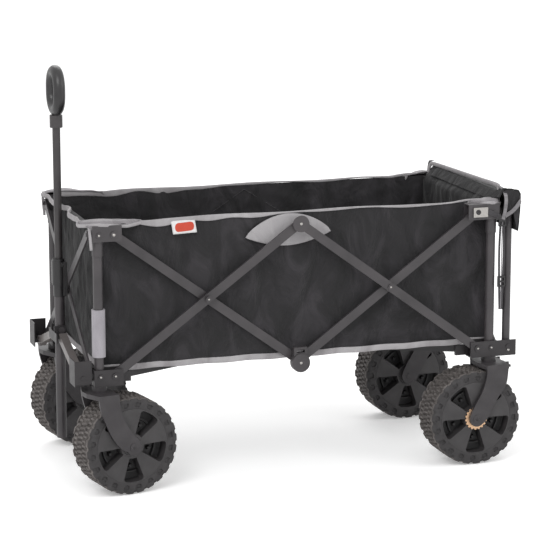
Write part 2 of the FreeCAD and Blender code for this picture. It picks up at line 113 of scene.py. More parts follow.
def powder_coat(name, dark, mid, light, rough=0.42):
    # baked polyester powder on steel tube: a satin grey with a faint orange-peel skin that breaks up the highlight
    m, t, s = new_material(name, rough)
    p = add(t, "ShaderNodeTexCoord").outputs["Object"]
    ramp = mottled(t, p, 60.0)
    set_ramp(ramp, (0.3, dark), (0.5, mid), (0.7, light))
    t.links.new(ramp.outputs["Color"], s.inputs["Base Color"])
    peel = add(t, "ShaderNodeTexNoise", {"Scale": 1 / (1.6 * MM), "Detail": 2.0}, Vector=p)
    scuff = add(t, "ShaderNodeTexNoise", {"Scale": 1 / (18 * MM), "Detail": 6.0}, Vector=p)
    r = add(t, "ShaderNodeMapRange", {"To Min": rough - 0.07, "To Max": rough + 0.12}, Value=scuff.outputs["Fac"])
    t.links.new(r.outputs["Result"], s.inputs["Roughness"])
    b = add(t, "ShaderNodeBump", {"Strength": 0.12, "Distance": 0.0004}, Height=peel.outputs["Fac"])
    t.links.new(b.outputs["Normal"], s.inputs["Normal"])
    return m


def moulded_plastic(name, dark, mid, light, rough=0.5, grain_mm=0.9, grain=0.18):
    # injection-moulded polypropylene with a spark-eroded grain: matte, slightly lighter where handled and dusty
    m, t, s = new_material(name, rough, ior=1.49)
    p = add(t, "ShaderNodeTexCoord").outputs["Object"]
    ramp = mottled(t, p, 35.0, 5.0)
    set_ramp(ramp, (0.3, dark), (0.5, mid), (0.72, light))
    t.links.new(ramp.outputs["Color"], s.inputs["Base Color"])
    cells = add(t, "ShaderNodeTexVoronoi", {"Scale": 1 / (grain_mm * MM)}, Vector=p)
    b = add(t, "ShaderNodeBump", {"Strength": grain, "Distance": 0.0003}, Height=cells.outputs["Distance"])
    t.links.new(b.outputs["Normal"], s.inputs["Normal"])
    return m


def tread_rubber(name, dark, mid, light):
    # hard foamed rubber: dull and browner than the wheel it is moulded on. The tread copy is coloured far lighter than
    # the sidewall copy, partly for pale dust on the lugs and partly as painted light where the tread faces the lamps
    m, t, s = new_material(name, 0.72, ior=1.5)
    p = add(t, "ShaderNodeTexCoord").outputs["Object"]
    ramp = mottled(t, p, 14.0, 6.0)
    set_ramp(ramp, (0.32, dark), (0.52, mid), (0.75, light))
    t.links.new(ramp.outputs["Color"], s.inputs["Base Color"])
    fine = add(t, "ShaderNodeTexNoise", {"Scale": 1 / (1.2 * MM), "Detail": 4.0}, Vector=p)
    b = add(t, "ShaderNodeBump", {"Strength": 0.3, "Distance": 0.0005}, Height=fine.outputs["Fac"])
    t.links.new(b.outputs["Normal"], s.inputs["Normal"])
    return m


def woven(name, dark, mid, light, axes, thread_mm=1.3, rough=0.82, depth=0.35, crease=0.5, sheen=0.15):
    """Plain-weave cloth. axes are the two directions of its threads, as letters of the row frame."""
    # the real threads are 0.5 mm; drawn at thread_mm so that the weave still shows
    m, t, s = new_material(name, rough, ior=1.46, sheen=sheen)
    p = add(t, "ShaderNodeTexCoord").outputs["Object"]
    waves = []
    for a in axes:
        w = add(t, "ShaderNodeTexWave", {"wave_type": "BANDS", "bands_direction": a, "Scale": 0.314 / (2 * thread_mm * MM),
                                        "Distortion": 0.6, "Detail": 1.0, "Detail Scale": 2.0}, Vector=p)
        waves.append(w.outputs["Fac"])
    weave = add(t, "ShaderNodeMath", {"operation": "MULTIPLY"}, i0=waves[0], i1=waves[1])
    # long soft creases pressed in by folding; the same noise also colours the cloth darker in the creases and lighter
    # on the ridges, as painted shade and painted light
    stretch = add(t, "ShaderNodeMapping", {"Scale": (1.0, 1.0, 0.55)}, Vector=p)
    folds = add(t, "ShaderNodeTexNoise", {"Scale": 1 / (55 * MM), "Detail": 5.0, "Roughness": 0.55, "Distortion": 0.8},
                Vector=stretch.outputs["Vector"])
    ramp = add(t, "ShaderNodeValToRGB", None, Fac=folds.outputs["Fac"])
    set_ramp(ramp, (0.30, dark), (0.5, mid), (0.74, light))
    # the weave darkens the colour between the threads: fine painted shade
    shade = add(t, "ShaderNodeMix", {"data_type": "RGBA", "blend_type": "MULTIPLY"})
    shade.inputs["Factor"].default_value = 0.35
    t.links.new(ramp.outputs["Color"], shade.inputs["A"])
    t.links.new(weave.outputs["Value"], shade.inputs["B"])
    t.links.new(shade.outputs["Result"], s.inputs["Base Color"])
    b1 = add(t, "ShaderNodeBump", {"Strength": crease, "Distance": 0.014}, Height=folds.outputs["Fac"])
    b2 = add(t, "ShaderNodeBump", {"Strength": depth, "Distance": 0.0004}, Height=weave.outputs["Value"],
             Normal=b1.outputs["Normal"])
    t.links.new(b2.outputs["Normal"], s.inputs["Normal"])
    return m


def bare_metal(name, hexa, rough):
    # zinc or brass plate: a bright metal broken by fine scratches
    m, t, s = new_material(name, rough, metallic=1.0)
    p = add(t, "ShaderNodeTexCoord").outputs["Object"]
    n = add(t, "ShaderNodeTexNoise", {"Scale": 1 / (3 * MM), "Detail": 5.0}, Vector=p)
    ramp = add(t, "ShaderNodeValToRGB", None, Fac=n.outputs["Fac"])
    c = linear(hexa)
    r = ramp.color_ramp
    r.elements[0].color = [v * 0.75 for v in c[:3]] + [1]
    r.elements[1].color = c
    t.links.new(ramp.outputs["Color"], s.inputs["Base Color"])
    b = add(t, "ShaderNodeBump", {"Strength": 0.15, "Distance": 0.0003}, Height=n.outputs["Fac"])
    t.links.new(b.outputs["Normal"], s.inputs["Normal"])
    return m


FRAME_COAT = powder_coat("charcoal_powder_coat", "#333032", "#3a3739", "#423e40", 0.38)
SHAFT_COAT = powder_coat("handle_shaft_coat", "#2e2b2c", "#343132", "#3b3839", 0.36)
# a darker copy of the frame powder coat: painted shade under the tub
SHADED_BASE_COAT = powder_coat("floor_arm_coat_painted_shade", "#1a181a", "#1f1d1f", "#262426", 0.42)
BRACKET_COAT = powder_coat("bracket_powder_coat", "#1f1c1e", "#252224", "#2c292b", 0.44)
ARM_COAT = powder_coat("cross_arm_powder_coat", "#57524f", "#625d5c", "#6d6867", 0.38)
FORK_PLASTIC = moulded_plastic("fork_moulding", "#2a2729", "#312e30", "#3a3739", 0.46)
WHEEL_PLASTIC = moulded_plastic("wheel_moulding", "#2c2a2b", "#333132", "#3b393a", 0.5)
# a darker copy of the wheel plastic: painted shade in the deep pocket recesses
POCKET_SHADE_PLASTIC = moulded_plastic("wheel_pocket_painted_shade", "#1b1a1b", "#222122", "#2a292a", 0.6)
SIDEWALL = tread_rubber("sidewall_rubber", "#2b292a", "#323031", "#3a3839")
# the same rubber as the sidewall, coloured lighter: pale dust, and painted light on the tread that faces the lamps
TREAD_RUBBER_LIT = tread_rubber("tread_rubber_dust_and_painted_light", "#474341", "#5a5553", "#736e6b")
BLACK_PLASTIC = moulded_plastic("handle_moulding", "#1f1e1f", "#262526", "#2e2d2e", 0.36, 0.7, 0.1)
TUB_CLOTH = woven("black_polyester_side", "#0f0e10", "#1d1b1e", "#39363a", "XZ", crease=0.9)
# a darker copy of the side-wall polyester for the end walls and the tail pouch: painted shade against the lamp light
# these faces catch
SHADED_END_CLOTH = woven("black_polyester_end_painted_shade", "#0e0d0f", "#151416", "#232123", "YZ", crease=0.7, sheen=0.06)
FLOOR_CLOTH = woven("black_polyester_floor", "#1b1a1c", "#242325", "#2e2d30", "XY", crease=0.25)
PIPING = woven("grey_binding_side", "#969294", "#aba8aa", "#c0bdbf", "XZ", 1.1, 0.8, 0.4, 0.25)
PIPING_END = woven("grey_binding_end", "#858183", "#999597", "#ada9ac", "YZ", 1.1, 0.8, 0.4, 0.25)
CAP_CLOTH = woven("grey_corner_cloth", "#757174", "#8d898c", "#a5a1a4", "XY", 1.1, 0.8, 0.4, 0.6)
WEBBING = woven("grey_webbing", "#6a676a", "#858285", "#a19ea1", "YZ", 1.6, 0.75, 0.6, 0.2)
DARK_WEBBING = woven("dark_webbing", "#2c2a2d", "#3a383b", "#4a484b", "YZ", 1.6, 0.75, 0.6, 0.2)
SLEEVE_CLOTH = woven("grey_sleeve_cloth", "#9b979d", "#aaa6ac", "#b7b3b9", "XZ", 1.0, 0.85, 0.3, 0.2)
ZINC = bare_metal("zinc_rivet", "#b9b6b2", 0.35)
BRASS = bare_metal("brake_ring_brass", "#e6c19e", 0.5)
LABEL_CLOTH = woven("white_label_cloth", "#e2e0e0", "#efeeee", "#f8f7f7", "XZ", 0.8, 0.8, 0.2, 0.1, 0.0)
LABEL_BAND = woven("red_label_band", "#c5442f", "#d2503a", "#da5f49", "XZ", 0.8, 0.8, 0.2, 0.1, 0.0)


# ---------------------------------------------------------------- mesh helpers

def mesh_object(name, verts, faces, material, smooth=True):
    me = bpy.data.meshes.new(name)
    me.from_pydata([tuple(v) for v in verts], [], faces)
    me.validate()
    me.update()
    for p in me.polygons:
        p.use_smooth = smooth
    o = bpy.data.objects.new(name, me)
    bpy.context.scene.collection.objects.link(o)
    for m in material if isinstance(material, (list, tuple)) else [material]:
        me.materials.append(m)
    return o


def smooth_by_angle(o, degrees=35.0):
    me = o.data
    me.update()
    b = bmesh.new()
    b.from_mesh(me)
    limit = math.radians(degrees)
    for e in b.edges:
        e.smooth = len(e.link_faces) == 2 and e.calc_face_angle(0.0) < limit
    for f in b.faces:
        f.smooth = True
    b.to_mesh(me)
    b.free()
    return o


def grid(nu, nv, point, wrap_u=False, wrap_v=False):
    """Vertices and faces of an nu by nv sheet, point(i, j) giving each place."""
    verts = [point(i, j) for i in range(nu) for j in range(nv)]
    faces = []
    for i in range(nu if wrap_u else nu - 1):
        for j in range(nv if wrap_v else nv - 1):
            a, b = i, (i + 1) % nu
            c, d = j, (j + 1) % nv
            faces.append((a * nv + c, b * nv + c, b * nv + d, a * nv + d))
    return verts, faces


def sweep(name, path, section, material, up=(0, 0, 1), closed=False, caps=True, tall=None):
    """A ribbon or tube: section is a closed loop of (side, up) offsets carried along path."""
    path = [Vector(p) for p in path]
    n = len(path)
    up = Vector(up)
    verts = []
    for i, p in enumerate(path):
        a = path[(i - 1) % n] if closed or i > 0 else p
        b = path[(i + 1) % n] if closed or i < n - 1 else p
        t = (b - a).normalized()
        side = t.cross(up)
        side = side.normalized() if side.length > 1e-6 else Vector((0, 1, 0))
        u = side.cross(t).normalized()
        stretch = tall[i] if tall else 1.0
        for s, h in section:
            verts.append(p + side * s + u * h * stretch)
    k = len(section)
    faces = []
    for i in range(n if closed else n - 1):
        for j in range(k):
            a, b = i * k, ((i + 1) % n) * k
            faces.append((a + j, a + (j + 1) % k, b + (j + 1) % k, b + j))
    if caps and not closed:
        faces.append(tuple(range(k))[::-1])
        faces.append(tuple((n - 1) * k + j for j in range(k)))
    return mesh_object(name, verts, faces, material)


def oval(half_side, half_up, count=12, power=1.0):
    out = []
    for k in range(count):
        a = 2 * math.pi * k / count
        c, s = math.cos(a), math.sin(a)
        out.append((half_side * math.copysign(abs(c) ** power, c), half_up * math.copysign(abs(s) ** power, s)))
    return out


def curve_points(points, per=8):
    """A smooth path through a few points."""
    pts = [Vector(p) for p in points]
    out = []
    for i in range(len(pts) - 1):
        p0 = pts[max(i - 1, 0)]
        p1, p2 = pts[i], pts[i + 1]
        p3 = pts[min(i + 2, len(pts) - 1)]
        for k in range(per):
            t = k / per
            out.append(0.5 * ((2 * p1) + (p2 - p0) * t + (2 * p0 - 5 * p1 + 4 * p2 - p3) * t * t
                              + (3 * p1 - p0 - 3 * p2 + p3) * t ** 3))
    out.append(pts[-1])
    return out


def bevelled(o, width, segments=2, angle=35):
    m = o.modifiers.new("edge", "BEVEL")
    m.width = width
    m.segments = segments
    m.limit_method = "ANGLE"
    m.angle_limit = math.radians(angle)
    m.harden_normals = False
    return o


def paint(node, material):
    o = NODES[node]
    if o.data.materials:
        for k in range(len(o.data.materials)):
            o.data.materials[k] = material
    for s in o.material_slots:
        s.material = material
    if not o.material_slots:
        o.data.materials.append(material)


# ---------------------------------------------------------------- CAD nodes keep their shape, with new finishes

def finish_frame():
    for name in NODES:
        # the floor arms take the darker coat, painted shade under the tub
        if name.startswith("base_arm"):
            paint(name, SHADED_BASE_COAT)
        elif name == "handle_shaft":
            paint(name, SHAFT_COAT)
        elif name.startswith(("post_rear", "post_front", "upper_", "side_bar", "end_bar", "stanchion", "handle_tube")):
            paint(name, FRAME_COAT)
        elif name.startswith(("bracket_", "handle_bracket")):
            paint(name, BRACKET_COAT)
        elif name.startswith("cross_arm"):
            paint(name, ARM_COAT)
        elif name.startswith(("fork_", "brake_pedal")):
            paint(name, FORK_PLASTIC)
        elif name.startswith(("grip", "handle_collar", "handle_lever")):
            paint(name, BLACK_PLASTIC)
        elif name == "post_sleeve":
            paint(name, SLEEVE_CLOTH)
        elif name.startswith("rim_"):
            paint(name, WHEEL_PLASTIC)
        elif name.startswith("tyre_"):
            paint(name, TREAD_RUBBER_LIT)
        else:
            paint(name, TUB_CLOTH)


# ---------------------------------------------------------------- wheels

def smooth_step(a, b, x):
    t = min(max((x - a) / (b - a), 0.0), 1.0)
    return t * t * (3 - 2 * t)


LUGS = 26
NOTCHES = 20
RIBS = 64


def tread_radius(turn, y):
    """Tyre radius in mm at a turn fraction and a distance across the tread."""
    ay = abs(y)
    if ay < 27.5:
        # rows of short cross ribs, each row half a step round from the next
        row = int((ay + 4.5) // 16.0)
        phase = (turn * RIBS + 0.5 * row + (0.25 if y > 0 else 0.0)) % 1.0
        rib = smooth_step(0.05, 0.18, phase) * (1 - smooth_step(0.60, 0.74, phase))
        gap = (ay + 4.5) % 16.0
        lane = smooth_step(0.3, 1.3, min(gap, 16.0 - gap))
        return 94.2 + 4.2 * rib * lane
    if ay < 30.2:
        # a plain channel beside each shoulder
        return 93.4
    phase = (turn * LUGS + (0.5 if y > 0 else 0.0)) % 1.0
    lug = smooth_step(0.04, 0.16, phase) * (1 - smooth_step(0.70, 0.84, phase))
    return 95.8 + 2.6 * lug


def tyre_mesh():
    """Small ribs between two shoulders and a flat sidewall with U-shaped notches. Also the count of tread faces."""
    wall = [(-36.6, 75.2), (-36.9, 76.0), (-37.2, 79.4), (-37.2, 80.2), (-37.2, 81.4), (-37.2, 84.0), (-37.2, 86.6),
            (-37.2, 88.0), (-37.2, 89.0), (-37.1, 91.5), (-36.6, 94.0)]
    ys = [-36.0, -34.6, -32.4, -31.0, -30.3, -30.1, -28.4, -27.6, -27.4, -26.4, -23.0, -19.0, -15.0, -12.9, -11.9,
          -11.5, -11.1, -10.1, -6.0, 0.0]
    profile = wall + [(y, None) for y in ys]
    profile = profile + [(-y, r) for y, r in reversed(profile[:-1])]
    steps = 640

    def point(i, j):
        turn = i / steps
        y, r = profile[j]
        a = 2 * math.pi * turn
        if r is None:
            r = tread_radius(turn, y)
            if abs(y) > 35.5:
                r -= 1.2
        elif 80.0 < r < 88.2:
            # notches moulded in the sidewall: round at the inner end, open towards the tread
            phase = (turn * NOTCHES + (0.1 if y > 0 else 0.6)) % 1.0
            across = abs(phase - 0.5)
            width = 0.22 * math.sqrt(max(0.0, 1 - ((84.0 - r) / 4.0) ** 2)) if r < 84.0 else 0.22
            y -= math.copysign(2.6 * (1 - smooth_step(width * 0.8, width + 0.02, across)), y)
        elif r > 90.0:
            phase = (turn * LUGS + (0.5 if y > 0 else 0.0)) % 1.0
            lug = smooth_step(0.04, 0.16, phase) * (1 - smooth_step(0.70, 0.84, phase))
            y -= math.copysign(1.6 * (1 - lug), y)
        return (r * MM * math.sin(a), y * MM, r * MM * math.cos(a))

    verts, faces = grid(steps, len(profile), point, wrap_u=True)
    return verts, faces, len(wall), len(profile)


def pocket_depth(r, angle, offset):
    """How deep the wheel disc is pressed in at a place, in mm: five wedge pockets between flat spokes."""
    a = (angle - offset) % 72.0
    a = a - 72.0 if a > 36.0 else a
    arc = abs(a) * math.pi / 180 * r
    side = 17.8 * math.pi / 180 * r - arc
    out, into = 73.2 - r, r - 25.2
    corner = 7.0
    d = min(side, out, into)
    if side < corner and out < corner:
        d = corner - math.hypot(corner - side, corner - out)
    depth = 23.0 * smooth_step(-0.3, 2.4, d)
    # the pocket floor keeps a small moulded pad and a cross rib
    if d > 3.0:
        depth -= 8.0 * (1 - smooth_step(3.4, 4.6, math.hypot(r - 44.0, arc)))
        depth -= 6.0 * (1 - smooth_step(1.2, 2.4, abs(r - 56.0)))
    return depth


def rim_mesh(offset):
    """A wheel disc with wedge pockets on both faces; the last value lists the faces that lie deep in a pocket, which
    take a darker plastic as painted shade.
    """
    radii = [6.3, 9.0, 9.8, 13.0, 19.6, 20.6, 23.6, 24.8, 25.6, 26.4, 27.4, 29.0, 32.0, 35.0, 38.0, 39.4, 40.6, 42.0, 44.0,
             46.0, 47.4, 48.6, 51.0, 53.6, 54.8, 56.0, 57.2, 58.4, 61.0, 64.0, 66.4, 68.6, 70.0, 71.0, 71.8, 72.6, 73.4,
             74.2, 75.3]
    steps = 540
    whole_v, whole_f, deep = [], [], []
    for side in (-1, 1):
        def point(i, j):
            ang = 360.0 * i / steps
            r = radii[j]
            y = 39.2 if r < 20.0 else 37.4
            y -= pocket_depth(r, ang, offset)
            if r > 75.0:
                y -= 0.4
            a = math.radians(ang)
            return (r * MM * math.sin(a), side * y * MM, r * MM * math.cos(a))
        v, f = grid(steps, len(radii), point, wrap_u=True)
        base = len(whole_v)
        whole_v += v
        for q in f:
            deep.append(max(abs(v[k][1]) for k in q) < 0.0260)
            whole_f.append(tuple(base + k for k in (q if side > 0 else q[::-1])))
    return whole_v, whole_f, deep


def wheels():
    tv, tf, wall, count = tyre_mesh()
    tyre = mesh_object("tyre_master", tv, tf, (TREAD_RUBBER_LIT, SIDEWALL))
    # tread faces take the lighter rubber, which carries painted light; sidewall faces take the darker one
    for k, p in enumerate(tyre.data.polygons):
        j = k % (count - 1)
        p.material_index = 1 if j < wall or j > count - 2 - wall else 0
    smooth_by_angle(tyre, 28)
    for end, offset in (("front", 34.0), ("rear", 36.0)):
        rv, rf, deep = rim_mesh(offset)
        rim = mesh_object("rim_master_" + end, rv, rf, (WHEEL_PLASTIC, POCKET_SHADE_PLASTIC))
        # faces deep in a pocket take the darker plastic: painted shade in the recesses
        for p in rim.data.polygons:
            p.material_index = 1 if deep[p.index] else 0
        smooth_by_angle(rim, 32)
        for side in ("near", "far"):
            tag = end + "_" + side
            lo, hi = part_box("rim_" + tag)
            centre = [(a + b) / 2 for a, b in zip(lo, hi)]
            for master, word in ((tyre, "tyre"), (rim, "rim")):
                o = bpy.data.objects.new("wheel_" + word + "_" + tag, master.data)
                o.location = centre
                if end == "front":
                    o.rotation_euler[2] = math.radians(10.0)
                if word == "tyre":
                    o.rotation_euler[1] = math.radians(5.0 if end == "rear" else 11.0)
                bpy.context.scene.collection.objects.link(o)
                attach(o, "wheel_" + tag)
                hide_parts(word + "_" + tag)
            if end == "rear":
                brake_ring(centre, side, tag)
        bpy.data.objects.remove(rim)
    bpy.data.objects.remove(tyre)


def brake_ring(centre, side, tag):
    """A toothed brass disc between the hub and the fork leg."""
    teeth = 18
    steps = teeth * 8
    face = -1 if side == "near" else 1
    ring = [24.2 if k % 8 < 4 else 21.8 for k in range(steps)]

    def point(i, j):
        a = 2 * math.pi * i / steps
        r = (10.0, ring[i] - 0.4, ring[i], ring[i], ring[i] - 0.4, 10.0)[j] * MM
        y = (40.3, 40.3, 40.0, 38.2, 37.8, 39.4)[j] * MM * face
        return (centre[0] + r * math.sin(a), centre[1] + y, centre[2] + r * math.cos(a))

    v, f = grid(steps, 6, point, wrap_u=True, wrap_v=True)
    o = mesh_object("brake_ring_" + tag, v, f, BRASS, smooth=False)
    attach(o, "wheel_" + tag)


# ---------------------------------------------------------------- cloth walls

def wall_grid(origin, along, width, height, step=0.0090):
    nu = int(round(width / step)) + 1
    nv = int(round(height / step)) + 1

    def point(i, j):
        return Vector(origin) + Vector(along) * (width * i / (nu - 1)) + Vector((0, 0, height * j / (nv - 1)))

    return nu, nv, grid(nu, nv, point)


def fan_folds(u, w, width, height, seed):
    """Sharp pleats, in metres, that fan out of the corners and the middle of a wall held at its rim."""
    d = 0.0
    # where each fan starts along and up the wall, how far it reaches and how high its pleats are
    fans = ((0.0, 0.0, 0.22, 0.0095), (1.0, 0.0, 0.26, 0.0105), (0.0, 1.0, 0.18, 0.0075),
            (1.0, 1.0, 0.20, 0.0085), (0.5, 1.0, 0.15, 0.0070), (0.5, 0.0, 0.18, 0.0080))
    for k, (cu, cw, reach, size) in enumerate(fans):
        dx, dz = (u - cu) * width, (w - cw) * height
        rad = math.hypot(dx, dz)
        turn = math.atan2(dz, dx)
        streak = noise.noise(Vector((turn * 4.6 + seed + k * 5.1, rad * 5.0, k * 2.3)))
        pleat = (1 - min(1.0, abs(streak) * 3.0)) ** 2
        d += size * pleat * math.exp(-rad / reach) * smooth_step(0.0, 0.03, rad)
    return d


def hang_cloth(name, origin, along, width, height, normal, material, slack, limits, seed):
    """A wall of slack cloth, sewn along its edges, that buckles into its own folds. Returns the settled object."""
    nu, nv, (verts, faces) = wall_grid(origin, along, width, height)
    rng = random.Random(seed)
    normal = Vector(normal)
    o = mesh_object(name, verts, faces, material)
    me = o.data
    border = [i * nv + j for i in range(nu) for j in range(nv) if i in (0, nu - 1) or j in (0, nv - 1)]
    # the whole border is sewn to its neighbours, so the cloth can only buckle inside it
    group = o.vertex_groups.new(name="sewn")
    group.add(border, 1.0, "REPLACE")
    for i in range(nu):
        for j in range(nv):
            k = i * nv + j
            if k in border:
                continue
            u, w = i / (nu - 1), j / (nv - 1)
            wave = noise.noise(Vector((u * 7.0 + seed, w * 2.6, seed * 1.7))) * 0.006
            wave += noise.noise(Vector((u * 15.0 + w * 4.0, w * 5.0 + seed, 3.1))) * 0.003
            me.vertices[k].co += normal * (wave + rng.uniform(-0.0004, 0.0004))
    settle(o, slack)
    rest = [Vector(v) for v in verts]
    low, high = limits
    mid, half = (low + high) / 2, (high - low) / 2
    for k, v in enumerate(o.data.vertices):
        d = (v.co - rest[k]).dot(normal)
        # a soft stop keeps the folds between the frame bars and the cargo space
        u = (rest[k] - rest[0]).dot(Vector(along)) / width
        w = (rest[k].z - rest[0].z) / height
        hem = smooth_step(0.0, 0.03, min(u, 1 - u) * width) * smooth_step(0.0, 0.03, min(w, 1 - w) * height)
        full = d - fan_folds(u, w, width, height, seed) * hem * (1.0 if width > 0.5 else 0.4)
        capped = mid + half * math.tanh((full - mid) / half)
        v.co += normal * (capped - d)
    sub = o.modifiers.new("soften", "SUBSURF")
    sub.levels = sub.render_levels = 1
    apply_modifiers(o)
    shade_smooth(o)
    return o


def apply_modifiers(o):
    bpy.context.view_layer.update()
    dg = bpy.context.evaluated_depsgraph_get()
    me = bpy.data.meshes.new_from_object(o.evaluated_get(dg))
    o.modifiers.clear()
    o.data = me


def thicken(o, thickness, offset=-1.0):
    """Gives a sheet its real thickness, in metres."""
    m = o.modifiers.new("thick", "SOLIDIFY")
    m.thickness = thickness
    m.offset = offset
    apply_modifiers(o)


def shade_smooth(o):
    for p in o.data.polygons:
        p.use_smooth = True


def settle(o, slack, frames=22):
    """Lets a sewn wall shrink onto its border and buckle, then keeps the settled mesh."""
    c = o.modifiers.new("cloth", "CLOTH")
    s = c.settings
    s.quality = 6
    s.mass = 0.25
    s.tension_stiffness = 25
    s.compression_stiffness = 20
    s.shear_stiffness = 8
    s.bending_stiffness = 0.6
    s.tension_damping = 8
    s.compression_damping = 8
    s.bending_damping = 2.0
    s.air_damping = 2.0
    s.shrink_min = -slack
    s.vertex_group_mass = "sewn"
    s.pin_stiffness = 1.0
    scene = bpy.context.scene
    c.point_cache.frame_start = 1
    c.point_cache.frame_end = frames
    for f in range(1, frames + 1):
        scene.frame_set(f)
    apply_modifiers(o)
    scene.frame_set(1)


def soft(o, wall):
    """Rides a soft piece on the frame corner that carries it, with a mesh of its own."""
    bodies = {"near": "top_rear_near", "far": "top_rear_far", "front": "top_front_near", "tail": "top_rear_near"}
    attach(o, bodies[wall])
    if wall in ("near", "far"):
        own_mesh(o)
    else:
        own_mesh(o)
    return o


def tail_lean(z):
    """How far the raised tail flap leans outwards at a height."""
    return 0.0225 * smooth_step(0.530, 0.566, z)


def front_lean(z):
    """How far the front rim is drawn out over the end bars."""
    return 0.0370 * smooth_step(0.5260, 0.5440, z)


def rim_line(side, x):
    """Height of a side rim: it rides up over the corner brackets and hangs a little between."""
    ax = abs(x)
    z = RIM_Z + 0.0035 * smooth_step(0.33, 0.375, ax)
    z -= 0.0016 * math.exp(-((ax - 0.315) / 0.035) ** 2)
    z += 0.0012 * math.sin(x * 23.0 + side) * (1 - smooth_step(0.3, 0.4, ax))
    return z


def tub_walls():
    height = RIM_Z - 0.0026 - WALL_LOW
    for word, side, seed in (("near", -1, 3), ("far", 1, 8)):
        o = hang_cloth("tub_wall_" + word, (-WALL_X, side * WALL_Y, WALL_LOW), (1, 0, 0), 2 * WALL_X, height,
                       (0, side, 0), TUB_CLOTH, 0.012, (-0.015, 0.0036), seed)
        soft(o, word)
    for word, x, seed, top in (("front", -FRONT_X, 5, RIM_Z), ("tail", WALL_X, 13, TAIL_Z)):
        face = 1 if x > 0 else -1
        h = top - 0.004 - WALL_LOW
        o = hang_cloth("tub_wall_" + word, (x, -WALL_Y, WALL_LOW), (0, 1, 0), 2 * WALL_Y, h,
                       (face, 0, 0), SHADED_END_CLOTH, 0.006, (-0.008, 0.003), seed)
        for v in o.data.vertices:
            notch = 1 - 0.55 * math.exp(-(v.co.y / 0.03) ** 2)
            v.co.x += tail_lean(v.co.z) if face > 0 else -front_lean(v.co.z) * notch
        soft(o, word)
    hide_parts("tub")


def bindings():
    """Grey tape folded over every raw edge of the tub."""
    for word, side in (("near", -1), ("far", 1)):
        path, tall = [], []
        for k in range(121):
            x = -0.415 + 0.83 * k / 120
            # the tape is wider and puckered over the front third
            wide = 1.0 - smooth_step(-0.20, 0.02, x)
            half = 0.0022 + 0.0034 * wide + 0.0014 * wide * math.sin(x * 61.0) + 0.0007 * math.sin(x * 37.0 + side)
            path.append((x, side * (WALL_Y + 0.0005), rim_line(side, x) + 0.0008 - half))
            tall.append(half / 0.0062)
        soft(sweep("rim_binding_" + word, path, oval(0.0019, 0.0062, 12, 0.6), PIPING, tall=tall), word)
        band = [(-WALL_X + 2 * WALL_X * k / 60, side * (WALL_Y + 0.0014),
                 WALL_LOW + 0.0052 + 0.0008 * math.sin(k * 0.9)) for k in range(61)]
        soft(sweep("floor_binding_" + word, band, oval(0.0014, 0.0062, 10, 0.5), PIPING), word)
    front = []
    for k in range(31):
        y = -0.190 + 0.375 * k / 30
        # it draws back where the handle's shaft passes
        x = -0.4425 + 0.0070 * k / 30 + 0.0170 * math.exp(-(y / 0.03) ** 2) - 0.0016 * math.sin(k * 0.9)
        front.append((x, y, RIM_Z - 0.0008 - 0.0030 * math.sin(math.pi * k / 30) + 0.0008 * math.sin(k * 1.7)))
    soft(sweep("rim_binding_front", front, oval(0.0026, 0.0052, 12, 0.6), PIPING_END), "front")
    for x, word in ((-FRONT_X - 0.0014, "front"), (WALL_X + 0.0014, "tail")):
        low = [(x, -WALL_Y + 2 * WALL_Y * k / 30, WALL_LOW + 0.0052) for k in range(31)]
        soft(sweep("floor_binding_" + word, low, oval(0.0014, 0.0062, 10, 0.5), PIPING_END), word)


def corner_caps():
    """Grey cloth caps that hook the tub over the four top brackets, puckered where they are drawn down."""
    for end_word, end in (("front", -1), ("rear", 1)):
        for side_word, side in (("near", -1), ("far", 1)):
            nu, nv = 41, 17
            start = 0.4345 if end > 0 else (0.4500 if side < 0 else 0.4360)
            long = {"front": 0.125, "rear": 0.062}[end_word]
            seed = 2.0 + end + 3.0 * side

            def point(i, j):
                u, w = i / (nu - 1), j / (nv - 1)
                x = end * (start - long * u)
                reach = 0.0325 * (1 - 0.86 * smooth_step(0.45, 1.0, u)) * (0.60 + 0.40 * smooth_step(0.0, 0.16, u))
                y = side * (WALL_Y - 0.003 + reach * w)
                ripple = noise.noise(Vector((u * 5.0 + seed, w * 2.0, seed)))
                z = 0.5462 + 0.0030 * math.sin(math.pi * min(u * 1.6, 1.0))
                z += 0.0022 * ripple * math.sin(math.pi * w) ** 0.5
                z -= 0.0070 * smooth_step(0.74, 1.0, w) * (1 + 0.5 * math.sin(u * 19.0 + seed))
                z -= 0.0030 * smooth_step(0.7, 1.0, u)
                return (x, y, z)

            v, f = grid(nu, nv, point)
            if end * side > 0:
                f = [q[::-1] for q in f]
            o = mesh_object("corner_cap_%s_%s" % (end_word, side_word), v, f, CAP_CLOTH)
            thicken(o, 0.0020, 1.0)
            shade_smooth(o)
            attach(o, "top_%s_%s" % (end_word, side_word))
            edge = curve_points([point(0, 2), point(0, nv - 1), point(12, nv - 1), point(24, nv - 1), point(32, nv - 1),
                                 point(40, nv - 1), point(40, 5)], 6)
            e = sweep("corner_edge_%s_%s" % (end_word, side_word), edge, oval(0.0020, 0.0034, 10, 0.7), PIPING)
            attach(e, "top_%s_%s" % (end_word, side_word))
            if end < 0:
                drop = curve_points([(-0.4335, side * 0.2040, 0.5430), (-0.4325, side * 0.2080, 0.5250),
                                     (-0.4300, side * 0.2070, 0.4950)], 6)
                d = sweep("corner_drop_" + side_word, drop, oval(0.0009, 0.0028, 10, 0.5), PIPING, up=(1, 0, 0))
                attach(d, "top_%s_%s" % (end_word, side_word))


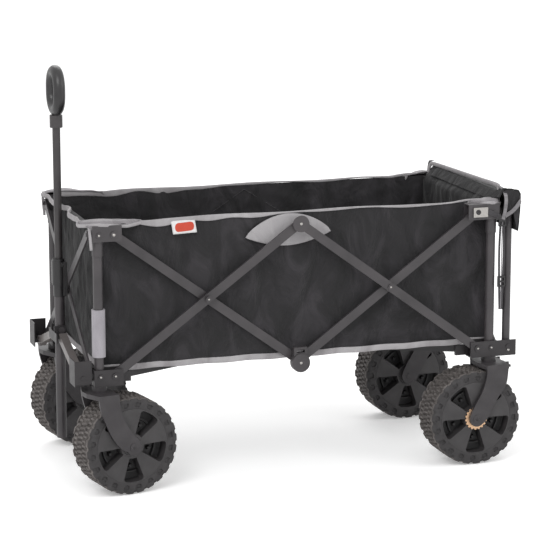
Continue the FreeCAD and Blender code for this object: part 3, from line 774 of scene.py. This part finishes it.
def grab_patches():
    """Grey lens-shaped grip patches sewn below the rim, behind the top middle pivots."""
    for word, side in (("near", -1), ("far", 1)):
        nu, nv = 33, 13

        def point(i, j):
            u, w = i / (nu - 1), j / (nv - 1)
            x = -0.108 + 0.180 * u
            arch = math.sin(math.pi * u) ** 0.7
            top = 0.4965 + 0.043 * arch + 0.004 * u
            low = 0.4965 - 0.022 * math.sin(math.pi * u) ** 0.9 + 0.004 * u
            z = low + (top - low) * w
            y = side * (WALL_Y + 0.0022 + 0.0014 * math.sin(math.pi * w) * arch)
            return (x, y, z)

        v, f = grid(nu, nv, point)
        if side > 0:
            f = [q[::-1] for q in f]
        o = mesh_object("grab_patch_" + word, v, f, PIPING)
        thicken(o, 0.0016, -1.0)
        soft(o, word)


def seams():
    """Stitched seams on the inner far wall, following the line of the frame bars."""
    y = WALL_Y - 0.0030
    for k, x1 in enumerate((-0.36, 0.36)):
        path = curve_points([(0.0, y, 0.5335), (x1 * 0.5, y, 0.4135), (x1, y, 0.2655)], 10)
        soft(sweep("seam_far_%d" % k, path, oval(0.0005, 0.0005, 6), DARK_WEBBING, up=(0, 1, 0)), "far")


def boards():
    for word, side in (("near", -1), ("far", 1)):
        lo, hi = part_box("floor_board_" + word)
        nu, nv = 121, 25

        def point(i, j):
            u, w = i / (nu - 1), j / (nv - 1)
            x = lo[0] + (hi[0] - lo[0]) * u
            y = lo[1] + (hi[1] - lo[1]) * w
            # four stiff panels with sewn channels between them
            panel = abs(math.sin(math.pi * 4 * u)) ** 0.25 * (1 if 0 < u < 1 else 0)
            rim = min(1.0, math.sin(math.pi * w) * 6.0)
            z = lo[2] + 0.0016 + (hi[2] - lo[2] - 0.0018) * panel * max(rim, 0.0) ** 0.5
            return (x, y, z)

        v, f = grid(nu, nv, point)
        o = mesh_object("board_cover_" + word, v, f, FLOOR_CLOTH)
        thicken(o, 0.0015, -1.0)
        shade_smooth(o)
        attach(o, "board_" + word)
        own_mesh(o)
        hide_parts("floor_board_" + word)
        y0, y1 = (0.0, side * WALL_Y)
        under = mesh_object("tub_floor_" + word, *grid(41, 9, lambda i, j: (
            -FRONT_X + (FRONT_X + WALL_X) * i / 40, y0 + (y1 - y0) * j / 8,
            WALL_LOW + 0.0008 + 0.0006 * math.sin(i * 0.8) * math.sin(j * 0.9))), FLOOR_CLOTH)
        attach(under, "board_" + word)
        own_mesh(under)


def tail_end():
    """The raised tail flap with its pouch over the two stanchions."""
    nu = 61
    profile = curve_points([(0.4190, 0.5480, 0), (0.4290, 0.5620, 0), (0.4350, 0.5655, 0), (0.4460, 0.5640, 0),
                            (0.4620, 0.5620, 0), (0.4700, 0.5580, 0), (0.4726, 0.5450, 0), (0.4712, 0.5160, 0),
                            (0.4680, 0.4830, 0)], 8)
    count = len(profile)

    def point(i, j):
        y = -0.2105 + 0.421 * i / (nu - 1)
        x, z = profile[j].x, profile[j].y
        sag = noise.noise(Vector((y * 9.0, j * 0.22, 1.7)))
        ends = smooth_step(0.165, 0.205, abs(y))
        away = smooth_step(0.140, 0.185, y)
        x += 0.0016 * sag * (1 if j > count * 0.4 else 0.4)
        if j < count * 0.5:
            x += (0.008 * ends + 0.012 * away) * (1 - j / (count * 0.5))
        # the pouch stands up over the two stanchions and hangs lower between them
        lift = smooth_step(0.500, 0.560, z)
        z += (0.0060 * ends * (1 - away) - 0.0022 * (1 - ends) - 0.0140 * away) * lift + 0.0010 * sag
        return (x, y, z)

    v, f = grid(nu, count, point)
    o = mesh_object("tail_pouch_cover", v, f, SHADED_END_CLOTH)
    thicken(o, 0.0016, -1.0)
    shade_smooth(o)
    soft(o, "tail")
    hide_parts("tail_pouch")
    for side in (-1, 1):
        loop = curve_points([(0.4420, 0.4850, 0), (0.4400, 0.5200, 0), (0.4370, 0.5640, 0), (0.4460, 0.5700, 0),
                             (0.4620, 0.5680, 0), (0.4715, 0.5640, 0), (0.4726, 0.5450, 0), (0.4712, 0.5160, 0),
                             (0.4675, 0.4830, 0)], 6)
        rings = 7

        def end_point(i, j):
            p = loop[i]
            t = j / (rings - 1)
            low = 0.0100 * smooth_step(0.535, 0.565, p.y) if side > 0 else 0.0
            back = 0.0130 * smooth_step(0.4560, 0.4370, p.x) if side > 0 else 0.0
            p = Vector((p.x + back, p.y - low))
            puff = 0.0026 * math.sin(math.pi * 0.5 * t) + 0.0012 * noise.noise(Vector((p.x * 60, p.y * 45, 3.0 + side)))
            return (0.4560 + (p.x - 0.4560) * (1 - t), side * (0.2098 + puff), 0.527 + (p.y - 0.527) * (1 - t))

        v, f = grid(len(loop), rings, end_point)
        soft(mesh_object("tail_pouch_end_%d" % (side + 1), v, f, TUB_CLOTH), "tail")
    # the flap is bound in grey along its top and down both ends
    path = curve_points([(0.4215, -0.1800, 0.500), (0.4245, -0.1835, 0.5300), (0.4330, -0.1862, 0.5560),
                         (0.4355, -0.1840, 0.5705), (0.4358, -0.172, 0.5750), (0.4350, -0.09, 0.5735),
                         (0.4345, 0.0, 0.5718), (0.4340, 0.09, 0.5702), (0.4330, 0.170, 0.5684),
                         (0.4310, 0.1810, 0.5655), (0.4265, 0.1800, 0.5540), (0.4225, 0.1775, 0.5380),
                         (0.4190, 0.1765, 0.4900)], 8)
    soft(sweep("tail_binding", path, oval(0.0044, 0.0030, 12, 0.7), PIPING_END, up=(1, 0, 0)), "tail")


def strap_set():
    """Webbing from each rear top bracket over the pouch corner, and a long adjuster strap with two sliders."""
    for word, side in (("near", -1), ("far", 1)):
        loop = curve_points([(0.4340, side * 0.2105, 0.5080), (0.4400, side * 0.2122, 0.5165),
                             (0.4520, side * 0.2142, 0.5240), (0.4640, side * 0.2142, 0.5350),
                             (0.4722, side * 0.2130, 0.5470), (0.4738, side * 0.2060, 0.5560)], 8)
        o = sweep("webbing_loop_" + word, loop, oval(0.0010, 0.0042, 10, 0.5), WEBBING, up=(0, 0, 1))
        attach(o, "top_rear_" + word)
        rise = curve_points([(0.4360, side * 0.1840, 0.5735), (0.4385, side * 0.2030, 0.5690),
                             (0.4400, side * 0.2142, 0.5520), (0.4375, side * 0.2148, 0.5260),
                             (0.4345, side * 0.2120, 0.5100)], 8)
        o = sweep("webbing_rise_" + word, rise, oval(0.0010, 0.0038, 10, 0.5), WEBBING, up=(1, 0, 0))
        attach(o, "top_rear_" + word)
        band = curve_points([(0.4020, side * 0.2128, 0.5260), (0.4160, side * 0.2128, 0.5210),
                             (0.4330, side * 0.2118, 0.5100)], 6)
        o = sweep("bracket_band_" + word, band, oval(0.0008, 0.0052, 10, 0.5), DARK_WEBBING, up=(0, 0, 1))
        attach(o, "top_rear_" + word)
        for n, (dx, half, cloth) in enumerate(((-0.0030, 0.0024, DARK_WEBBING), (0.0036, 0.0024, DARK_WEBBING),
                                               (0.0004, 0.0010, WEBBING))):
            layer = 0.0006 * n
            tail = curve_points([(0.4335 + dx, side * (0.2098 + layer), 0.505),
                                 (0.4335 + dx * 1.5, side * (0.2086 + layer), 0.445),
                                 (0.4338 + dx * 1.2, side * (0.2080 + layer), 0.380),
                                 (0.4345 + dx * 0.6, side * 0.2068, 0.3200)], 10)
            o = sweep("adjuster_strap_%s_%d" % (word, n), tail, oval(0.0007, half, 10, 0.5), cloth, up=(1, 0, 0))
            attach(o, "top_rear_" + word)
        for n, z in enumerate((0.5060, 0.3795)):
            slider(word, side, n, z)


def slider(word, side, n, z):
    """A black two-bar strap slider."""
    b = bmesh.new()
    for dz in (-0.0095, 0.0, 0.0095):
        bmesh.ops.create_cube(b, size=1.0, matrix=Matrix.Translation((0.4335, side * 0.2108, z + dz))
                              @ Matrix.Diagonal((0.0150, 0.0050, 0.0036, 1.0)))
    for dx in (-0.0068, 0.0068):
        bmesh.ops.create_cube(b, size=1.0, matrix=Matrix.Translation((0.4335 + dx, side * 0.2108, z))
                              @ Matrix.Diagonal((0.0028, 0.0050, 0.0226, 1.0)))
    me = bpy.data.meshes.new("slider")
    b.to_mesh(me)
    b.free()
    o = bpy.data.objects.new("strap_slider_%s_%d" % (word, n), me)
    bpy.context.scene.collection.objects.link(o)
    me.materials.append(BLACK_PLASTIC)
    bevelled(o, 0.0009, 2)
    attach(o, "top_rear_" + word)


def label():
    """A plain folded cloth tab sewn under the near rim."""
    nu, nv = 13, 9
    x0, x1, z0, z1 = -0.262, -0.213, 0.5125, 0.5390

    def point(i, j):
        u, w = i / (nu - 1), j / (nv - 1)
        y = -(WALL_Y + 0.0022 + 0.0018 * math.sin(math.pi * (1 - w) * 0.6) + 0.0004 * math.sin(5 * u))
        return (x0 + (x1 - x0) * u + 0.004 * (1 - w), y, z0 + (z1 - z0) * w + 0.0015 * u)

    v, f = grid(nu, nv, point)
    o = mesh_object("label_tab", v, f, LABEL_CLOTH)
    thicken(o, 0.0008)
    soft(o, "near")

    def patch(i, j):
        u, w = i / 20, j / 10
        px = x0 + 0.006 + (x1 - x0 - 0.010) * u + 0.002
        lo = z0 + 0.0045
        zz = lo + 0.0175 * w
        edge = 0.0060 * (1 - math.sqrt(max(0.0, 1 - (2 * w - 1) ** 2)))
        px += edge * (1 if u < 0.5 else -1) * (1 - 2 * min(u, 1 - u))
        ww = (zz - z0) / (z1 - z0)
        y = -(WALL_Y + 0.0028 + 0.0018 * math.sin(math.pi * (1 - ww) * 0.6) + 0.0004 * math.sin(5 * u))
        return (px, y, zz + 0.0015 * u)

    v, f = grid(21, 11, patch)
    soft(mesh_object("label_band", v, f, LABEL_BAND), "near")


# the outer face of the brackets, where their rivets sit
BRACKET_FACE = 0.2113


def rivets():
    """Bright rivet ends on the brackets, bars and axles."""
    spots = []
    for end_word, end in (("front", -1), ("rear", 1)):
        for word, side in (("near", -1), ("far", 1)):
            low, top = "%s_%s" % (end_word, word), "top_%s_%s" % (end_word, word)
            for x, z, body in ((0.385, 0.2405, low), (0.415, 0.2405, low), (0.415, 0.5235, top)):
                spots.append((end * x, side * BRACKET_FACE, z, side, 0.0021, body))
            if end < 0:
                spots.append((-0.385, side * BRACKET_FACE, 0.5235, side, 0.0028, top))
            elif side > 0:
                spots.append((0.385, side * BRACKET_FACE, 0.5235, side, 0.0028, top))
            if end > 0:
                spots.append((0.373, side * 0.2428, 0.099, side, 0.0040, "rear_" + word))
                spots.append((0.453, side * 0.2104, 0.2335, side, 0.0028, "rear_" + word))
    spots.append((-0.3545, -0.2326, 0.099, -1, 0.0040, "fork_front_near"))
    spots.append((-0.3711, 0.2510, 0.099, 1, 0.0040, "fork_front_far"))
    for word, side in (("near", -1), ("far", 1)):
        spots.append((0.0, side * 0.2092, 0.5235, side, 0.0028, "bar_%s_rear_outer" % word))
        spots.append((0.0, side * 0.2095, 0.2385, side, 0.0028, "bar_%s_rear_inner" % word))
        spots.append((0.1925, side * 0.2083, 0.3820, side, 0.0018, "bar_%s_rear_outer" % word))
        spots.append((-0.1925, side * 0.2083, 0.3820, side, 0.0018, "bar_%s_front_outer" % word))
    for k, (x, y, z, side, r, body) in enumerate(spots):
        steps, rows = 16, 4

        def point(i, j):
            a = 2 * math.pi * i / steps
            t = j / (rows - 1)
            rr = r * math.cos(t * math.pi / 2 * 0.96)
            return (x + rr * math.cos(a), y + side * 0.30 * r * math.sin(t * math.pi / 2), z + rr * math.sin(a))

        v, f = grid(steps, rows, point, wrap_u=True)
        f.append(tuple(i * rows + rows - 1 for i in range(steps)))
        o = mesh_object("rivet_%02d" % k, v, f, BRACKET_COAT if z < 0.1 else ZINC)
        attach(o, body)


def lock_plate():
    """A bright plate with its dark bolt on the near rear top bracket."""
    b = bmesh.new()
    place = Matrix.Translation((0.3855, -0.2118, 0.5262))
    bmesh.ops.create_cube(b, size=1.0, matrix=place @ Matrix.Diagonal((0.0320, 0.0022, 0.0205, 1)))
    me = bpy.data.meshes.new("lock_plate")
    b.to_mesh(me)
    b.free()
    o = bpy.data.objects.new("lock_plate", me)
    bpy.context.scene.collection.objects.link(o)
    me.materials.append(ZINC)
    bevelled(o, 0.0010, 3)
    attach(o, "top_rear_near")
    steps = 20
    rings = ((0.0052, -0.2128), (0.0052, -0.2142), (0.0046, -0.2148), (0.0026, -0.2148), (0.0022, -0.2138))

    def point(i, j):
        a = 2 * math.pi * i / steps
        r, y = rings[j]
        return (0.3800 + r * math.cos(a), y, 0.5270 + r * math.sin(a))

    v, f = grid(steps, len(rings), point, wrap_u=True)
    f.append(tuple(i * len(rings) + len(rings) - 1 for i in range(steps)))
    bolt = mesh_object("lock_bolt", v, f, BRACKET_COAT)
    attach(bolt, "top_rear_near")


def frame_edges():
    """Rounded edges catch light along the bars and mouldings."""
    for name, o in NODES.items():
        if o.hide_render:
            continue
        if name.startswith(("side_bar", "end_bar", "base_arm", "bracket_", "upper_", "handle_bracket")):
            bevelled(o, 0.0013, 3, 40)
        elif name.startswith(("fork_", "cross_arm", "brake_pedal", "handle_lever")):
            bevelled(o, 0.0022 if name.startswith("fork_") else 0.0016, 3, 30)


# ---------------------------------------------------------------- stage, lamps and camera

def stage():
    me = bpy.data.meshes.new("floor")
    s = 30.0
    me.from_pydata([(-s, -s, -0.0005), (s, -s, -0.0005), (s, s, -0.0005), (-s, s, -0.0005)], [], [(0, 1, 2, 3)])
    floor = bpy.data.objects.new("floor", me)
    bpy.context.scene.collection.objects.link(floor)
    m = bpy.data.materials.new("pale_floor")
    m.use_nodes = True
    t = m.node_tree
    shader = t.nodes["Principled BSDF"]
    shader.inputs["Base Color"].default_value = linear("#fbfbfb")
    shader.inputs["Roughness"].default_value = 0.9
    shader.inputs["Specular IOR Level"].default_value = 0.2
    # a paper-white sweep to the eye, while its shadows stay
    seen = add(t, "ShaderNodeLightPath")
    lift = add(t, "ShaderNodeMath", {"operation": "MULTIPLY", 1: 0.26}, i0=seen.outputs["Is Camera Ray"])
    t.links.new(lift.outputs["Value"], shader.inputs["Emission Strength"])
    shader.inputs["Emission Color"].default_value = (1.0, 1.0, 1.0, 1.0)
    me.materials.append(m)
    world = bpy.data.worlds.new("studio")
    bpy.context.scene.world = world
    world.use_nodes = True
    t = world.node_tree
    bg = t.nodes["Background"]
    bg.inputs["Color"].default_value = linear("#ffffff")
    bg.inputs["Strength"].default_value = 0.85
    white = add(t, "ShaderNodeBackground", {"Color": (1.0, 1.0, 1.0, 1.0), "Strength": 1.0})
    path = add(t, "ShaderNodeLightPath")
    either = add(t, "ShaderNodeMath", {"operation": "MAXIMUM"}, i0=path.outputs["Is Camera Ray"],
                 i1=path.outputs["Is Glossy Ray"])
    mix = add(t, "ShaderNodeMixShader", None, i0=either.outputs["Value"], i1=bg.outputs["Background"],
              i2=white.outputs["Background"])
    t.links.new(mix.outputs["Shader"], t.nodes["World Output"].inputs["Surface"])
    for name, energy, size, at, aim in (("key", 95, 2.4, (-2.6, -3.0, 3.6), (0, 0, 0.3)),
                                        ("fill", 40, 3.0, (3.2, -2.6, 2.2), (0, 0, 0.3)),
                                        ("back", 45, 2.5, (0.5, 3.4, 3.2), (0, 0, 0.4))):
        lamp = bpy.data.lights.new(name, "AREA")
        lamp.energy = energy
        lamp.size = size
        o = bpy.data.objects.new(name, lamp)
        o.location = at
        o.rotation_euler = (Vector(aim) - Vector(at)).to_track_quat("-Z", "Y").to_euler()
        bpy.context.scene.collection.objects.link(o)


def camera():
    cam = bpy.data.cameras.new("camera")
    cam.sensor_width = 36.0
    cam.lens = 153.05
    o = bpy.data.objects.new("camera", cam)
    o.location = (-1.4938, -4.634, 1.3670)
    o.rotation_euler = (math.pi / 2 - 0.2022, 0.0, -0.3164)
    bpy.context.scene.collection.objects.link(o)
    bpy.context.scene.camera = o
    bpy.context.scene.view_settings.view_transform = "Standard"


finish_frame()
wheels()
tub_walls()
bindings()
corner_caps()
grab_patches()
seams()
boards()
tail_end()
strap_set()
label()
rivets()
lock_plate()
frame_edges()
stage()
camera()
